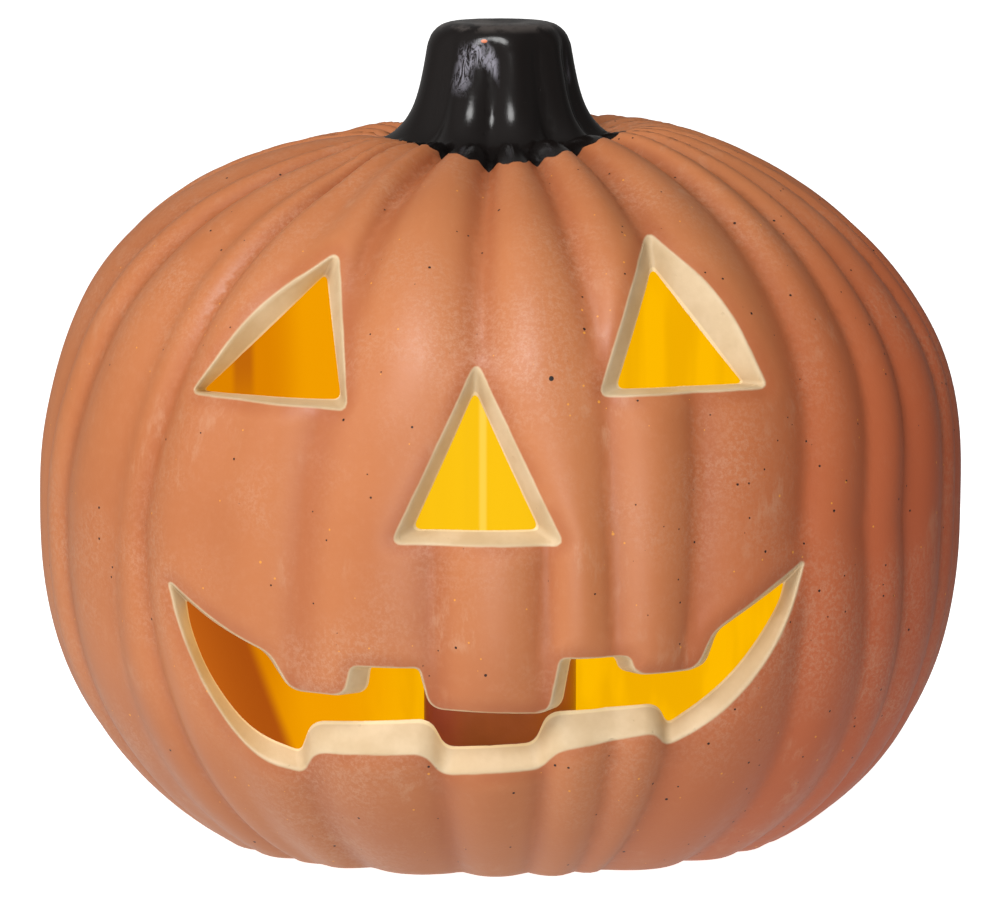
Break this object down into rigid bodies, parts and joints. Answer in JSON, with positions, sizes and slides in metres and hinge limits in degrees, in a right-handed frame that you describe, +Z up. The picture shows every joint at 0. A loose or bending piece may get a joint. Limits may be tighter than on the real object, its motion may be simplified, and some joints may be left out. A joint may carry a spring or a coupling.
{
  "type": "ceramic pumpkin figure",
  "caption": "Lit jack-o'-lantern: hollow ribbed ceramic pumpkin with carved eyes, nose and toothed mouth, black stem, and a plug-in battery light unit in its base.",
  "frame": {"origin": "on the surface it stands on, under the middle of the pumpkin", "axes": "+Z up through the stem, the face looks along -Y, +X to the right of someone who faces the pumpkin"},
  "size_m": [0.2297, 0.2294, 0.2036],
  "materials": {
    "terracotta": "satin glaze, matte inside the carved edges",
    "pad_silicone": "matte",
    "seal_silicone": "matte",
    "brown_plastic": "moulded satin",
    "black_plastic": "fine moulded texture",
    "frosted_plastic": "frosted",
    "circuit_board": "solder mask",
    "amber_lens": "clear amber epoxy",
    "chip_plastic": "matte",
    "resistor_body": "lacquered",
    "spring_steel": "nickel plated",
    "screw_steel": "zinc plated",
    "cell_jacket": "printed jacket with bare ends",
    "lead_red": "PVC insulation",
    "lead_black": "PVC insulation",
    "lead_white": "PVC insulation",
    "knob_plastic": "moulded"
  },
  "bodies": {
    "pumpkin": {"shell": "terracotta", "foot_pad_1": "pad_silicone", "foot_pad_2": "pad_silicone", "foot_pad_3": "pad_silicone", "foot_pad_4": "pad_silicone"},
    "door": {"battery_door": "black_plastic", "bridge_plate": "spring_steel", "bridge_spring": "spring_steel"},
    "knob": {"switch_knob": "knob_plastic"},
    "light_unit": {"seal_ring": "seal_silicone", "column": "brown_plastic", "base_plate": "black_plastic", "diffuser_cap": "frosted_plastic", "circuit_board": "circuit_board", "led_1": "amber_lens", "led_2": "amber_lens", "led_3": "amber_lens", "timer_chip": "chip_plastic", "resistor": "resistor_body", "positive_contact": "spring_steel", "negative_spring": "spring_steel", "switch_body": "spring_steel", "column_screw_1": "screw_steel", "column_screw_2": "screw_steel", "cell_1": "cell_jacket", "cell_2": "cell_jacket", "switch_lead_1": "lead_red", "switch_lead_2": "lead_black", "switch_lead_3": "lead_white"}
  },
  "joints": [
    {"name": "light_unit_pull", "type": "slide", "parent": "pumpkin", "child": "light_unit", "axis": [0, 0, -1], "range_m": [0, 0.085]},
    {"name": "battery_door_hinge", "type": "hinge", "parent": "light_unit", "child": "door", "pos_m": [0, 0.0102, 0.0034], "axis": [1, 0, 0], "range_deg": [0, 95]},
    {"name": "switch_slide", "type": "slide", "parent": "light_unit", "child": "knob", "axis": [1, 0, 0], "range_m": [-0.002, 0.002]}
  ]
}
